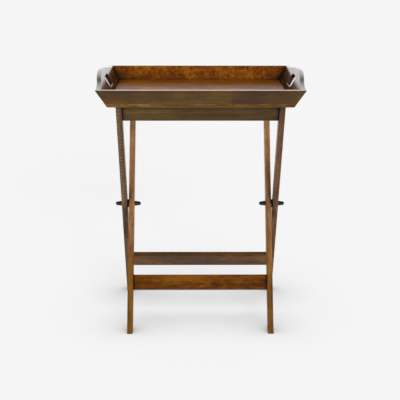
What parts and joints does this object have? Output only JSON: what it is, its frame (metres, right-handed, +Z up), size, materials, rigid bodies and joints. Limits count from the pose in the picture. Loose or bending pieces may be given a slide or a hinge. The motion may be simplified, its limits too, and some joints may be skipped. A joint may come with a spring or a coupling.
{
  "type": "butlers tray table",
  "caption": "Wooden butler's tray with flared mitred walls and hand slots in its serpentine end boards, lifting off a folding scissor stand with domed cap nuts at the pivots.",
  "frame": {"origin": "on the floor, under the centre of the table", "axes": "+Z up, -Y towards the front, +X to the right when seen from the front"},
  "size_m": [0.6678, 0.5648, 0.834],
  "materials": {
    "tray_wood": "satin lacquer over brown stain",
    "stand_wood": "satin lacquer over brown stain",
    "black_hardware": "satin black",
    "black_spacer": "matte black",
    "webbing": "dark brown woven webbing"
  },
  "bodies": {
    "outer_frame": {"outer_leg_left": "stand_wood", "outer_leg_right": "stand_wood", "outer_top_rail": "stand_wood", "outer_stretcher": "stand_wood", "pivot_stud_left": "black_hardware", "pivot_stud_right": "black_hardware", "outer_acorn_nut_left": "black_hardware", "outer_acorn_nut_right": "black_hardware", "inner_acorn_nut_left": "black_hardware", "inner_acorn_nut_right": "black_hardware", "outer_washer_left": "black_hardware", "outer_washer_right": "black_hardware", "inner_washer_left": "black_hardware", "inner_washer_right": "black_hardware", "pivot_spacer_left": "black_spacer", "pivot_spacer_right": "black_spacer", "strap_left": "webbing", "strap_right": "webbing", "outer_strap_screws": "black_hardware"},
    "inner_frame": {"inner_leg_left": "stand_wood", "inner_leg_right": "stand_wood", "inner_top_rail": "stand_wood", "inner_stretcher": "stand_wood", "inner_strap_screws": "black_hardware"},
    "tray": {"tray_base_panel": "tray_wood", "tray_front_board": "tray_wood", "tray_back_board": "tray_wood", "tray_left_handle_board": "tray_wood", "tray_right_handle_board": "tray_wood"}
  },
  "joints": [
    {"name": "stand_fold", "type": "hinge", "parent": "outer_frame", "child": "inner_frame", "pos_m": [0, 0, 0.38], "axis": [1, 0, 0], "range_deg": [0, 50], "deforming": ["strap_left", "strap_right"]},
    {"name": "tray_lift", "type": "slide", "parent": "outer_frame", "child": "tray", "axis": [0, 0, 1], "range_m": [0, 0.262]}
  ],
  "couplings": [
    {"joint": "tray_lift", "follows": "stand_fold", "m_per_rad": 0.3}
  ]
}
